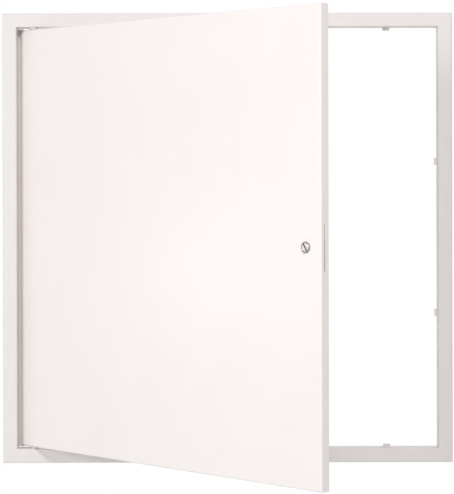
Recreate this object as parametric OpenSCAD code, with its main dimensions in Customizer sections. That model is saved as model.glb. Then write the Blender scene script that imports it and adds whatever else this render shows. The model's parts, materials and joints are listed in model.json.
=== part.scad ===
// Ceiling access panel: a mitred steel picture frame, a folded pan door on a concealed rod hinge,
// and a slotted cam latch. X runs to the latch side, Y into the ceiling void, Z along the hinge.
// The origin is the centre of the clear opening, on the plane where the flange's lip meets the ceiling.

/* [Opening] */
// Clear width between the frame's side walls
opening_w = 600; // [400:10:900]
// Clear height between the frame's top and bottom walls
opening_h = 600; // [400:10:900]

/* [Frame] */
// Thickness of the frame's steel sheet
frame_t = 1.2; // [0.8:0.1:2]
// Width of the flange, from the clear opening to its outer edge
flange_w = 20; // [16:1:30]
// Outside radius of the bend at the flange's outer edge
flange_edge_r = 2.5; // [2.1:0.1:4]
// Straight length of the lip behind that bend, which rests on the ceiling
flange_lip = 0.5; // [0.3:0.1:3]
// Outside radius of the bend between the flange and the wall
opening_edge_r = 2; // [1.8:0.1:3]
// Depth of the wall behind the faces of the stops
wall_behind_stops = 9.7; // [8.5:0.1:20]
// Half of the hairline between two rails at a mitre
mitre_ease = 0.05; // [0.02:0.01:0.2]
// Thickness of the plates behind the mitres
corner_plate_t = 1.2; // [0.8:0.1:1.5]
// Inside radius of the bend at the root of the hinge stile's lip
hinge_lip_bend_r = 0.8; // [0.5:0.1:1.5]
// Room between the hinge stile's lip and the swing of the door's hinge edge
hinge_lip_clear = 0.6; // [0.3:0.1:2]
// Gap between the ends of that lip and the top and bottom walls
hinge_lip_end_gap = 1; // [0.5:0.1:3]
// Room between a corner plate and the bends beside it
corner_plate_clear = 0.25; // [0.1:0.05:1]
// How far each leg of a corner plate runs along the opening's side
corner_plate_leg = 16; // [10:1:40]

/* [Stops and fixings] */
// Width of each lanced stop along its rail
stop_w = 10; // [6:0.5:16]
// How far a stop stands into the opening
stop_reach = 4.5; // [4:0.1:8]
// Inside radius of the bend at the root of a stop
stop_bend_r = 0.8; // [0.5:0.1:1.5]
// Slit cut at each side of a stop
stop_slit = 0.5; // [0.3:0.1:1.5]
// Gap between the closed door's edge and the stops
stop_gap = 0.3; // [0.1:0.1:1]
// Distance of the stops from the ends of the top and bottom rails' opening
stop_from_corner = 73; // [60:1:120]
// Distance between the two stops of the latch stile
latch_stop_spacing = 216; // [140:2:300]
// Diameter of the fixing holes
fixing_d = 5; // [4:0.5:7]
// Distance of the fixing holes from the end of the flat wall
fixing_from_back = 5; // [4:0.5:6]
// Distance of the top and bottom fixing holes from the opening's corners
rail_fixing_from_corner = 150; // [110:5:180]
// Distance of the side fixing holes from the opening's corners
stile_fixing_from_corner = 100; // [50:5:150]

/* [Door] */
// Gap between the closed door and the frame's walls
door_gap = 3; // [2:0.1:3.5]
// Thickness of the door's steel sheet
door_t = 1.2; // [0.8:0.1:2]
// Depth of the door's folded edges
door_depth = 15; // [14.5:0.5:25]
// Outside radius of the bends round the door's face
door_edge_r = 2.5; // [2.1:0.1:4]
// Width of the lip turned in behind each of the door's edges
door_lip = 12; // [8:0.5:13]
// Outside radius of the bends between the door's edges and their lips
door_lip_r = 2.2; // [2.1:0.1:3]
// How far the door stands open
door_open = 46.5; // [0:0.5:120]

/* [Stiffener] */
// Sheet thickness of the stiffener
stiffener_t = 1; // [0.6:0.1:1.5]
// Outside width of the stiffener's channel
stiffener_w = 30; // [20:1:60]
// Depth of the stiffener behind the door's skin
stiffener_depth = 9; // [6:0.5:12]
// Width of each of the stiffener's side flanges
stiffener_flange = 12; // [8:1:20]
// Inside radius of the stiffener's bends
stiffener_bend_r = 1; // [0.5:0.1:2]
// Gap between the stiffener's ends and the door's folded edges
stiffener_end_gap = 36; // [5:1:80]

/* [Hinge] */
// Diameter of the hinge rod
rod_d = 5; // [4:0.5:6]
// Distance of the rod from the door's hinge edge
hinge_inset = 21; // [19:0.5:35]
// Distance of the rod behind the door's face
hinge_setback = 7.5; // [7.5:0.1:9]
// Radial clearance between the rod and what turns on it
rod_clearance = 0.05; // [0.02:0.01:0.1]
// Radial clearance round the rod where it passes the door's edges
rod_passage = 0.75; // [0.5:0.05:1.5]
// Length of the rod beyond its clips
rod_tail = 2; // [1:0.5:5]
// Strap thickness of the knuckles
knuckle_t = 1.5; // [1:0.1:2]
// Length of each knuckle along the rod
knuckle_l = 40; // [20:1:80]
// Length of the knuckle's foot on the door's skin
knuckle_foot = 20; // [10:1:40]
// Inside radius of the bend between a knuckle's leg and foot
knuckle_bend_r = 0.8; // [0.5:0.1:1.5]
// Slit left where the knuckle's curl closes
knuckle_slit = 0.5; // [0.3:0.1:1]
// Distance of the end knuckles' middles from the door's ends
knuckle_from_end = 67; // [30:1:120]
// Diameter of the bushes' flanges
bush_flange_d = 12; // [10:0.5:14]
// Diameter of the bushes' sleeves
bush_sleeve_d = 7.5; // [6.5:0.1:8]
// Radial clearance between a sleeve and its hole in the wall
bush_fit = 0.05; // [0.02:0.01:0.1]
// Running gap between a bush and the door's edge
bush_run_gap = 0.3; // [0.1:0.1:0.8]
// How far a sleeve stands out behind the wall
bush_proud = 1.5; // [0.5:0.1:3]
// Diameter of the push-on clips
clip_d = 10; // [8:0.5:10]
// Thickness of the push-on clips
clip_t = 0.8; // [0.5:0.1:1.5]

/* [Latch] */
// Distance of the latch from the door's free edge
latch_inset = 25; // [23:0.5:28]
// Diameter of the housing's collar
collar_d = 14; // [13.5:0.5:20]
// Height of the collar on the door's face
collar_h = 2; // [1.8:0.1:3]
// Chamfer round the collar's front edge
collar_chamfer = 0.5; // [0.2:0.1:0.8]
// Diameter of the housing's barrel
barrel_d = 12; // [11:0.5:13]
// Width across the barrel's two flats
barrel_flats = 10.6; // [10.2:0.1:11]
// How far the barrel stands behind the door's skin
barrel_reach = 3.8; // [3.2:0.1:4.5]
// Clearance round the barrel in the skin and in its nut
barrel_fit = 0.05; // [0.02:0.01:0.1]
// Width across the flats of the locknut
locknut_af = 16; // [15:0.5:19]
// Thickness of the locknut
locknut_t = 2.6; // [2:0.1:3]
// Diameter of the plug's head
plug_head_d = 10.8; // [10:0.1:11.2]
// Thickness of the plug's head
plug_head_t = 1.3; // [1.2:0.1:1.4]
// Diameter of the plug's shaft
plug_shaft_d = 8; // [7.5:0.1:8.4]
// Radial clearance of the shaft in the barrel
plug_clearance = 0.05; // [0.02:0.01:0.1]
// Radial clearance of the head in the collar
head_clearance = 0.1; // [0.05:0.01:0.2]
// Clearance in front of and behind the head
head_end_clearance = 0.05; // [0.02:0.01:0.1]
// Width of the slot for a screwdriver or coin
slot_w = 2; // [1.2:0.1:2.5]
// Depth of that slot
slot_depth = 1; // [0.6:0.1:1.1]
// Width of the square that drives the cam
drive_af = 5.6; // [5.2:0.1:5.6]
// Clearance on each side of that square
drive_fit = 0.05; // [0.02:0.01:0.1]
// Diameter of the plug's threaded end
stud_d = 5; // [4:0.5:5]
// Length of the threaded end past the nut
stud_tail = 0.6; // [0.2:0.1:1]

/* [Cam] */
// Sheet thickness of the cam
cam_t = 1.5; // [1.2:0.1:2.5]
// Reach of the cam from its axis
cam_reach = 37; // [34:0.5:42]
// Radius of the cam round its axis
cam_hub_r = 9; // [7:0.5:11]
// Radius of the cam's tip
cam_tip_r = 5; // [3:0.5:6]
// Angle of the cam from level, with the tip down when negative
cam_angle = -57; // [-90:1:0]
// Quarter turn that the stop allows
cam_turn = 90; // [80:1:90]
// Room round the cam in the slot in the door's edge
cam_slot_clear = 0.3; // [0.2:0.1:1]
// Room beyond the cam's sweep at the ends of its slots
cam_slot_end = 0.7; // [0.5:0.1:5]
// Room round the cam in the frame's keeper slot
keeper_clear = 1; // [0.5:0.1:1.5]
// Thickness of the stop washer
stop_washer_t = 1; // [0.8:0.1:1.4]
// Diameter of the stop washer
stop_washer_d = 15; // [14:0.5:18]
// Running gap between the barrel and the stop washer
stop_washer_gap = 0.2; // [0.1:0.05:0.4]
// Half of the angle that the housing's stop lug takes up
lug_half_angle = 15; // [8:1:15]
// Radial thickness of the stop lug
lug_t = 1; // [0.6:0.1:1]
// Angle left free between the lug and the washer at each limit
lug_ease = 2; // [1:0.5:4]
// Radial room between the lug and the washer's notch
lug_clear = 0.15; // [0.1:0.05:0.3]
// Diameter of the washer under the nut
nut_washer_d = 12; // [10:0.5:14]
// Thickness of that washer
nut_washer_t = 1; // [0.6:0.1:1.2]
// Width across the flats of the cam's nut
cam_nut_af = 8; // [7:0.5:10]
// Height of the cam's nut
cam_nut_t = 4; // [2.5:0.1:4]

/* [Hidden] */
$fn = 64;

// Extra length of a cutting tool past the face that it cuts
cut = 1;

// Depths along Y, from the flange's face to the wall's back edge
face_y = -(flange_edge_r + flange_lip);
flange_back_y = face_y + frame_t;
skin_back_y = face_y + door_t;
door_back_y = face_y + door_depth;
stop_y = door_back_y + stop_gap;
stop_root_y = stop_y - stop_bend_r;
stop_blank = stop_reach - stop_bend_r + (stop_bend_r + frame_t / 2) * PI / 2;
wall_back_y = stop_y + wall_behind_stops;
hinge_lip_y = wall_back_y - frame_t;
hinge_lip_root_y = hinge_lip_y - hinge_lip_bend_r;

// Door and hinge
door_w = opening_w - 2 * door_gap;
door_h = opening_h - 2 * door_gap;
hinge_x = -door_w / 2 + hinge_inset;
hinge_y = face_y + hinge_setback;
swing_r = norm([hinge_inset, max(hinge_setback, door_back_y - hinge_y)]);
swing_at_lip = sqrt(max(0, pow(swing_r, 2) - pow(hinge_lip_y - hinge_y, 2)));
hinge_lip = door_gap + hinge_inset - swing_at_lip - hinge_lip_clear;
rod_bore_d = rod_d + 2 * rod_clearance;
knuckle_z = door_h / 2 - knuckle_from_end;
bush_end_z = opening_h / 2 + frame_t + bush_proud;
rod_l = 2 * (bush_end_z + clip_t + rod_tail);

// Latch stack along Y, from the collar's face to the end of the stud
latch_x = door_w / 2 - latch_inset;
collar_y = face_y - collar_h;
head_y = collar_y + head_end_clearance;
head_seat_y = head_y + plug_head_t + head_end_clearance;
barrel_back_y = skin_back_y + barrel_reach;
stop_washer_y = barrel_back_y + stop_washer_gap;
cam_y = stop_washer_y + stop_washer_t;
nut_washer_y = cam_y + cam_t;
cam_nut_y = nut_washer_y + nut_washer_t;
stud_end_y = cam_nut_y + cam_nut_t + stud_tail;
drive_end_y = nut_washer_y - head_end_clearance;
bore_d = plug_shaft_d + 2 * plug_clearance;
drive_hole = drive_af + 2 * drive_fit;

// Slots that the cam sweeps through, found from its reach and their distance from its axis
edge_slot_half = sqrt(pow(cam_reach, 2) - pow(latch_inset - door_t, 2)) + cam_slot_end;
keeper_half = sqrt(pow(cam_reach, 2) - pow(latch_inset + door_gap, 2)) + cam_slot_end;

// Stop lug on the housing: level with the notch's middle halfway through the turn
lug_angle = 180 - cam_turn / 2;
lug_h = cam_y - stop_washer_gap - barrel_back_y;
lug_in_r = barrel_d / 2 - lug_t;
notch_half = cam_turn / 2 + lug_half_angle + lug_ease;

WHITE = [0.93, 0.93, 0.915];
ZINC = [0.74, 0.75, 0.77];
NICKEL = [0.8, 0.79, 0.76];
NYLON = [0.82, 0.82, 0.8];

// Extrudes an outline drawn in X and Z between two depths along Y
module between_y(front, back) {
  rotate([90, 0, 0])
    translate([0, 0, -back])
      linear_extrude(height = back - front)
        children();
}

// Turns the closed door to where it stands open
module swung_open() {
  translate([hinge_x, hinge_y, 0])
    rotate([0, 0, -door_open])
      translate([-hinge_x, -hinge_y, 0])
        children();
}

// Puts a latch piece, drawn round the Y axis, in the open door
module in_door() {
  swung_open()
    translate([latch_x, 0, 0])
      children();
}

// Puts a piece that turns with the plug, drawn with the cam level, at the cam's angle
module with_cam() {
  in_door()
    rotate([0, -cam_angle, 0])
      children();
}

// A sector of a ring, as an outline round the origin
module ring_sector(inner_r, outer_r, middle, half_angle) {
  far = 2 * outer_r;
  intersection() {
    difference() {
      circle(r = outer_r);
      circle(r = inner_r);
    }
    rotate(middle)
      polygon([
        [0, 0],
        [far * cos(half_angle), -far * sin(half_angle)],
        [far, 0],
        [far * cos(half_angle), far * sin(half_angle)]
      ]);
  }
}

// A quarter of a bend in sheet, round a centre, between two radii
module bend(centre, outer_r, sheet, quadrant) {
  translate(centre)
    rotate(90 * quadrant)
      intersection() {
        difference() {
          circle(r = outer_r);
          circle(r = outer_r - sheet);
        }
        square(outer_r);
      }
}

// A slot with round ends, along Y of the drawing
module round_slot(half_l, width) {
  straight = 2 * half_l - width;
  square([width, straight], center = true);
  for (side = [-1, 1])
    translate([0, side * straight / 2])
      circle(d = width);
}

// Section of a rail up to the end of its flat wall: X outwards from the opening, Y into the void
module rail_section(wall_end) {
  translate([opening_edge_r, face_y])
    square([flange_w - flange_edge_r - opening_edge_r, frame_t]);
  translate([0, face_y + opening_edge_r])
    square([frame_t, wall_end - face_y - opening_edge_r]);
  translate([flange_w - frame_t, face_y + flange_edge_r])
    square([frame_t, flange_lip]);
  bend([opening_edge_r, face_y + opening_edge_r], opening_edge_r, frame_t, 2);
  bend([flange_w - flange_edge_r, face_y + flange_edge_r], flange_edge_r, frame_t, 3);
}

// Section of a lanced stop, in the same drawing as the rail's section
module stop_section() {
  bend([-stop_bend_r, stop_root_y], stop_bend_r + frame_t, frame_t, 0);
  translate([-stop_reach, stop_y])
    square([stop_reach - stop_bend_r, frame_t]);
}

// Section of the lip behind the door's hinge edge, in the same drawing
module hinge_lip_section() {
  bend([-hinge_lip_bend_r, hinge_lip_root_y], hinge_lip_bend_r + frame_t, frame_t, 0);
  translate([-hinge_lip, hinge_lip_y])
    square([hinge_lip - hinge_lip_bend_r, frame_t]);
}

// Stands a section up along the top of the opening, outwards along Z
module along_rail(length) {
  rotate([0, -90, 0])
    linear_extrude(height = length, center = true)
      children();
}

// One rail along the top of an opening, cut to its mitres, with stops and fixing holes at the given
// places along X; the children are taken out of its wall
module rail(span, setback, stops, fixings, wall_end = wall_back_y) {
  reach = span / 2 - mitre_ease;
  translate([0, 0, setback]) {
    difference() {
      intersection() {
        along_rail(span + 2 * flange_w)
          rail_section(wall_end);
        between_y(face_y - cut, wall_back_y + cut)
          polygon([
            [-reach, 0],
            [reach, 0],
            [reach + flange_w, flange_w],
            [-reach - flange_w, flange_w]
          ]);
      }
      for (x = stops)
        translate([x - stop_w / 2 - stop_slit, stop_root_y, -cut])
          cube([stop_w + 2 * stop_slit, stop_blank, frame_t + 2 * cut]);
      for (x = fixings)
        translate([x, wall_end - fixing_from_back, -cut])
          cylinder(d = fixing_d, h = frame_t + 2 * cut);
      children();
    }
    for (x = stops)
      translate([x, 0, 0])
        along_rail(stop_w)
          stop_section();
  }
}

// Top or bottom rail, with the bush's hole at the hinge side
module cross_rail(hinge_side) {
  stop_x = opening_w / 2 - stop_from_corner;
  fixing_x = opening_w / 2 - rail_fixing_from_corner;
  rail(opening_w, opening_h / 2, [-stop_x, stop_x], [-fixing_x, fixing_x])
    translate([hinge_side * hinge_x, hinge_y, -cut])
      cylinder(d = bush_sleeve_d + 2 * bush_fit, h = frame_t + 2 * cut);
}

module frame_top_rail() {
  color(WHITE)
    cross_rail(1);
}

module frame_bottom_rail() {
  color(WHITE)
    rotate([0, 180, 0])
      cross_rail(-1);
}

// Hinge stile, with a lip that closes the view behind the door's hinge edge
module frame_hinge_stile() {
  fixing_z = opening_h / 2 - stile_fixing_from_corner;
  color(WHITE)
    rotate([0, -90, 0]) {
      rail(opening_h, opening_w / 2, [], [-fixing_z, fixing_z], hinge_lip_root_y);
      translate([0, 0, opening_w / 2])
        along_rail(opening_h - 2 * hinge_lip_end_gap)
          hinge_lip_section();
    }
}

module frame_latch_stile() {
  stop_z = latch_stop_spacing / 2;
  fixing_z = opening_h / 2 - stile_fixing_from_corner;
  color(WHITE)
    rotate([0, 90, 0])
      rail(opening_h, opening_w / 2, [-stop_z, stop_z], [-fixing_z, fixing_z])
        translate([0, cam_y + cam_t / 2, -cut])
          linear_extrude(height = frame_t + 2 * cut)
            rotate(90)
              round_slot(keeper_half, cam_t + 2 * keeper_clear);
}

// L-shaped plate behind the flange, across the mitre of one corner
module corner_plate(side, end) {
  inner = opening_edge_r + corner_plate_clear;
  width = flange_w - flange_edge_r - corner_plate_clear - inner;
  leg = corner_plate_leg + inner + width;
  between_y(flange_back_y, flange_back_y + corner_plate_t)
    mirror([side < 0 ? 1 : 0, 0])
      mirror([0, end < 0 ? 1 : 0])
        translate([opening_w / 2 - corner_plate_leg, opening_h / 2 - corner_plate_leg])
          difference() {
            square(leg);
            square(leg - width);
          }
}

module corner_plate_top_left() {
  color(WHITE)
    corner_plate(-1, 1);
}

module corner_plate_top_right() {
  color(WHITE)
    corner_plate(1, 1);
}

module corner_plate_bottom_left() {
  color(WHITE)
    corner_plate(-1, -1);
}

module corner_plate_bottom_right() {
  color(WHITE)
    corner_plate(1, -1);
}

module hinge_rod() {
  color(ZINC)
    translate([hinge_x, hinge_y, 0])
      cylinder(d = rod_d, h = rod_l, center = true);
}

// Flanged bush in the top wall, with its flange in the gap over the door's edge
module hinge_bush() {
  flange_t = door_gap - bush_run_gap;
  translate([hinge_x, hinge_y, opening_h / 2])
    difference() {
      union() {
        translate([0, 0, -flange_t])
          cylinder(d = bush_flange_d, h = flange_t);
        cylinder(d = bush_sleeve_d, h = bush_end_z - opening_h / 2);
      }
      translate([0, 0, -flange_t - cut])
        cylinder(d = rod_bore_d, h = bush_end_z - opening_h / 2 + flange_t + 2 * cut);
    }
}

module hinge_bush_top() {
  color(NYLON)
    hinge_bush();
}

module hinge_bush_bottom() {
  color(NYLON)
    mirror([0, 0, 1])
      hinge_bush();
}

// Push-on clip against the outer end of the top bush
module rod_clip() {
  translate([hinge_x, hinge_y, bush_end_z])
    difference() {
      cylinder(d = clip_d, h = clip_t);
      translate([0, 0, -cut])
        cylinder(d = rod_bore_d, h = clip_t + 2 * cut);
    }
}

module rod_clip_top() {
  color(ZINC)
    rod_clip();
}

module rod_clip_bottom() {
  color(ZINC)
    mirror([0, 0, 1])
      rod_clip();
}

// Section across a folded pan: a face with a rounded corner at each end
module pan_section(width, front, back, front_r, back_r) {
  half = width / 2;
  depth = back - front;
  translate([-half, front + front_r])
    square([width, depth - front_r - back_r]);
  translate([-half + front_r, front])
    square([width - 2 * front_r, depth - back_r]);
  translate([-half + back_r, front + front_r])
    square([width - 2 * back_r, depth - front_r]);
  for (side = [-1, 1]) {
    translate([side * (half - front_r), front + front_r])
      circle(r = front_r);
    translate([side * (half - back_r), back - back_r])
      circle(r = back_r);
  }
}

// Block with the two pan sections crossed, so that its front and back edges are round
module pan_block(width, height, front, back, front_r, back_r) {
  intersection() {
    linear_extrude(height = height, center = true)
      pan_section(width, front, back, front_r, back_r);
    along_rail(width)
      pan_section(height, front, back, front_r, back_r);
  }
}

module door_pan() {
  inner_w = door_w - 2 * door_t;
  inner_h = door_h - 2 * door_t;
  inner_back_y = door_back_y - door_t;
  color(WHITE)
    swung_open()
      difference() {
        pan_block(door_w, door_h, face_y, door_back_y, door_edge_r, door_lip_r);
        pan_block(inner_w, inner_h, skin_back_y, inner_back_y, door_edge_r - door_t, door_lip_r - door_t);
        translate([0, door_back_y, 0])
          cube([door_w - 2 * door_lip, 2 * (door_t + cut), door_h - 2 * door_lip], center = true);
        translate([hinge_x, hinge_y, 0])
          cylinder(r = rod_d / 2 + rod_passage, h = door_h + 2 * cut, center = true);
        translate([latch_x, 0, 0])
          between_y(face_y - cut, skin_back_y + cut)
            barrel_outline(barrel_fit);
        translate([door_w / 2 - door_t - cut, cam_y + cam_t / 2, 0])
          rotate([90, 0, 90])
            linear_extrude(height = door_t + 2 * cut)
              round_slot(edge_slot_half, cam_t + 2 * cam_slot_clear);
      }
}

// Half of the stiffener's section: web, bend, side, bend and flange, with the skin along X
module stiffener_half() {
  half = stiffener_w / 2;
  bend_r = stiffener_bend_r + stiffener_t;
  translate([0, stiffener_depth - stiffener_t])
    square([half - bend_r, stiffener_t]);
  bend([half - bend_r, stiffener_depth - bend_r], bend_r, stiffener_t, 0);
  translate([half - stiffener_t, bend_r])
    square([stiffener_t, stiffener_depth - 2 * bend_r]);
  bend([half + stiffener_bend_r, bend_r], bend_r, stiffener_t, 2);
  translate([half + stiffener_bend_r, 0])
    square([stiffener_flange - stiffener_bend_r, stiffener_t]);
}

// Top-hat stiffener up the middle of the door's skin
module door_stiffener() {
  length = door_h - 2 * door_t - 2 * stiffener_end_gap;
  color(WHITE)
    swung_open()
      translate([0, skin_back_y, 0])
        linear_extrude(height = length, center = true) {
          stiffener_half();
          mirror([1, 0])
            stiffener_half();
        }
}

// Strap curled round the rod, with a leg down to a foot on the door's skin
module hinge_knuckle(z) {
  inner_r = rod_d / 2 + rod_clearance;
  outer_r = inner_r + knuckle_t;
  heel_r = knuckle_bend_r + knuckle_t;
  drop = hinge_y - skin_back_y;
  color(WHITE)
    swung_open()
      translate([hinge_x, hinge_y, z])
        linear_extrude(height = knuckle_l, center = true) {
          difference() {
            circle(r = outer_r);
            circle(r = inner_r);
            translate([inner_r - knuckle_slit, -knuckle_slit - outer_r])
              square([knuckle_slit, outer_r]);
          }
          translate([inner_r, heel_r - drop])
            square([knuckle_t, drop - heel_r]);
          bend([inner_r + heel_r, heel_r - drop], heel_r, knuckle_t, 2);
          translate([inner_r + heel_r, -drop])
            square([knuckle_foot, knuckle_t]);
        }
}

module hinge_knuckle_top() {
  hinge_knuckle(knuckle_z);
}

module hinge_knuckle_middle() {
  hinge_knuckle(0);
}

module hinge_knuckle_bottom() {
  hinge_knuckle(-knuckle_z);
}

// Outline of the barrel: a circle with two flats, grown by a clearance
module barrel_outline(clearance) {
  intersection() {
    circle(d = barrel_d + 2 * clearance);
    square([barrel_flats + 2 * clearance, barrel_d + 2 * clearance + cut], center = true);
  }
}

// Half of the collar's section, spun round the barrel's axis
module collar_section() {
  outer_r = collar_d / 2;
  polygon([
    [0, -face_y],
    [outer_r, -face_y],
    [outer_r, -collar_y - collar_chamfer],
    [outer_r - collar_chamfer, -collar_y],
    [0, -collar_y]
  ]);
}

module latch_housing() {
  color(NICKEL)
    in_door()
      difference() {
        union() {
          rotate([90, 0, 0])
            rotate_extrude()
              collar_section();
          between_y(face_y, barrel_back_y)
            barrel_outline(0);
          between_y(barrel_back_y, barrel_back_y + lug_h)
            ring_sector(lug_in_r, barrel_d / 2, lug_angle, lug_half_angle);
        }
        between_y(collar_y - cut, head_seat_y)
          circle(d = plug_head_d + 2 * head_clearance);
        between_y(collar_y - cut, barrel_back_y + cut)
          circle(d = bore_d);
      }
}

module latch_locknut() {
  color(ZINC)
    in_door()
      between_y(skin_back_y, skin_back_y + locknut_t)
        difference() {
          circle(d = locknut_af / cos(30), $fn = 6);
          circle(d = barrel_d + 2 * barrel_fit);
        }
}

module latch_plug() {
  color(NICKEL)
    with_cam()
      difference() {
        union() {
          between_y(head_y, head_y + plug_head_t)
            circle(d = plug_head_d);
          between_y(head_y + plug_head_t, stop_washer_y)
            circle(d = plug_shaft_d);
          between_y(stop_washer_y, drive_end_y)
            square(drive_af, center = true);
          between_y(drive_end_y, stud_end_y)
            circle(d = stud_d);
        }
        between_y(head_y - cut, head_y + slot_depth)
          square([plug_head_d + 2 * cut, slot_w], center = true);
      }
}

module cam_stop_washer() {
  color(ZINC)
    with_cam()
      between_y(stop_washer_y, cam_y)
        difference() {
          circle(d = stop_washer_d);
          square(drive_hole, center = true);
          ring_sector(lug_in_r - lug_clear, stop_washer_d, 180, notch_half);
        }
}

// Flat lever: a round hub and tip, with sides tangent to both
module cam_outline() {
  tip_x = cam_reach - cam_tip_r;
  lean = asin((cam_hub_r - cam_tip_r) / tip_x);
  circle(r = cam_hub_r);
  translate([tip_x, 0])
    circle(r = cam_tip_r);
  polygon([
    [cam_hub_r * sin(lean), -cam_hub_r * cos(lean)],
    [tip_x + cam_tip_r * sin(lean), -cam_tip_r * cos(lean)],
    [tip_x + cam_tip_r * sin(lean), cam_tip_r * cos(lean)],
    [cam_hub_r * sin(lean), cam_hub_r * cos(lean)]
  ]);
}

module latch_cam() {
  color(ZINC)
    with_cam()
      between_y(cam_y, nut_washer_y)
        difference() {
          cam_outline();
          square(drive_hole, center = true);
        }
}

module cam_washer() {
  color(ZINC)
    with_cam()
      between_y(nut_washer_y, cam_nut_y)
        difference() {
          circle(d = nut_washer_d);
          circle(d = stud_d + 2 * drive_fit);
        }
}

module cam_nut() {
  color(ZINC)
    with_cam()
      between_y(cam_nut_y, cam_nut_y + cam_nut_t)
        difference() {
          circle(d = cam_nut_af / cos(30), $fn = 6);
          circle(d = stud_d + 2 * drive_fit);
        }
}

frame_top_rail();
frame_bottom_rail();
frame_hinge_stile();
frame_latch_stile();
corner_plate_top_left();
corner_plate_top_right();
corner_plate_bottom_left();
corner_plate_bottom_right();
hinge_rod();
hinge_bush_top();
hinge_bush_bottom();
rod_clip_top();
rod_clip_bottom();
door_pan();
door_stiffener();
hinge_knuckle_top();
hinge_knuckle_middle();
hinge_knuckle_bottom();
latch_housing();
latch_locknut();
latch_plug();
cam_stop_washer();
latch_cam();
cam_washer();
cam_nut();
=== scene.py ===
# %% [markdown]
# A ceiling access panel: a white steel frame, a folded door that stands open on a hidden rod hinge,
# and a small slotted latch. This lesson starts from the panel's solids, which already have their real
# sizes and joints, and gives them the surfaces, soft edges and small marks of a finished product.

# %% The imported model
import json
import math

import bmesh
import bpy
from mathutils import Matrix, Vector


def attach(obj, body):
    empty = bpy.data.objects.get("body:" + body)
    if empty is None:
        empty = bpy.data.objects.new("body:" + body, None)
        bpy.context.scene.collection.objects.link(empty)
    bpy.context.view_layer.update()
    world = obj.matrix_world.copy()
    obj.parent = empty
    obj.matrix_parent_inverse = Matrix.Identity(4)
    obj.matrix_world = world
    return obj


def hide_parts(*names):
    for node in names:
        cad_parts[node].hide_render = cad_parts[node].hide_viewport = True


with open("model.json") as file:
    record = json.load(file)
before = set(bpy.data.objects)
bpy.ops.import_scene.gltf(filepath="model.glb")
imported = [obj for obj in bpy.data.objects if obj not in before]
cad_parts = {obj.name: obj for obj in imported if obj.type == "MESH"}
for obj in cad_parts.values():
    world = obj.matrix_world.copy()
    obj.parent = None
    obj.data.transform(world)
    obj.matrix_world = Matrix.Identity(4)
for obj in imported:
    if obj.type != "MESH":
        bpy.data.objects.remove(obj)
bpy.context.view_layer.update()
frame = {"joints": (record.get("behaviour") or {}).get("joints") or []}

# %% [markdown]
# The camera comes first, because every later choice is judged through it. The picture was taken with
# a long lens, level with the upper half of the panel, and then cropped. The crop is a lens shift here:
# tilting the camera instead would make the upright edges lean.

# %% Camera at the photograph's view
PHOTO_W = 454
PHOTO_H = 494
FOCAL_PX = 1952.1
AXIS_PX = (227.4, 179.5)
SENSOR_MM = 36.0
EYE = (0.0, -2.7812, 0.083)
ROLL = 0.0023

camera = bpy.data.objects.new("camera", bpy.data.cameras.new("camera"))
camera.data.sensor_width = SENSOR_MM
camera.data.lens = FOCAL_PX / PHOTO_H * SENSOR_MM
camera.data.shift_x = (PHOTO_W / 2 - AXIS_PX[0]) / PHOTO_H
camera.data.shift_y = (AXIS_PX[1] - PHOTO_H / 2) / PHOTO_H
camera.location = EYE
camera.rotation_euler = (math.pi / 2, ROLL, 0)
bpy.context.scene.collection.objects.link(camera)
bpy.context.scene.camera = camera
bpy.context.scene.view_settings.view_transform = "Standard"
print("lens:", round(camera.data.lens, 1), "mm, shift:", round(camera.data.shift_y, 3))

# %% [markdown]
# The panel hangs in white space. The world gives an even light, and shows as plain white to the camera
# and in reflections. Soft lamps add to it: one in front, which reaches into the narrow gap at the
# hinge, one from the left, which the open door faces, and one behind for the views of the back. A small
# weak lamp at the far left stands where the door mirrors it to the camera, and lays a soft sheen on the
# door. A pale floor lies well below the panel, out of this view, and takes its shadow in the others.

# %% White surroundings
AMBIENT = 0.45
PLAIN_WHITE = 1.0

world = bpy.data.worlds.new("bright room")
bpy.context.scene.world = world
world.use_nodes = True
nodes = world.node_tree.nodes
links = world.node_tree.links
nodes.clear()
seen = nodes.new("ShaderNodeLightPath")
camera_or_glossy = nodes.new("ShaderNodeMath")
camera_or_glossy.operation = "MAXIMUM"
any_view = nodes.new("ShaderNodeMath")
any_view.operation = "MAXIMUM"
room = nodes.new("ShaderNodeBackground")
room.inputs["Strength"].default_value = AMBIENT
white = nodes.new("ShaderNodeBackground")
white.inputs["Strength"].default_value = PLAIN_WHITE
for background in (room, white):
    background.inputs["Color"].default_value = (1, 1, 1, 1)
mix = nodes.new("ShaderNodeMixShader")
output = nodes.new("ShaderNodeOutputWorld")
links.new(seen.outputs["Is Camera Ray"], camera_or_glossy.inputs[0])
links.new(seen.outputs["Is Glossy Ray"], camera_or_glossy.inputs[1])
links.new(camera_or_glossy.outputs[0], any_view.inputs[0])
links.new(seen.outputs["Is Transmission Ray"], any_view.inputs[1])
links.new(any_view.outputs[0], mix.inputs["Fac"])
links.new(room.outputs[0], mix.inputs[1])
links.new(white.outputs[0], mix.inputs[2])
links.new(mix.outputs[0], output.inputs["Surface"])
print("world:", len(nodes), "nodes")

# %% Four soft lamps
FRONT_FROM = Vector((0.15, -2.6, 1.7))
FRONT_SIZE = 0.8
FRONT_POWER = 36.0
SIDE_FROM = Vector((-2.2, -2.9, 0.7))
SIDE_SIZE = 0.8
SIDE_POWER = 35.0
SHEEN_FROM = Vector((-2.37, -0.2, -0.15))
SHEEN_SIZE = 0.3
SHEEN_POWER = 1.2
BACK_FROM = Vector((1.1, 3.6, 0.35))
BACK_SIZE = 1.5
BACK_POWER = 60.0


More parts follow.
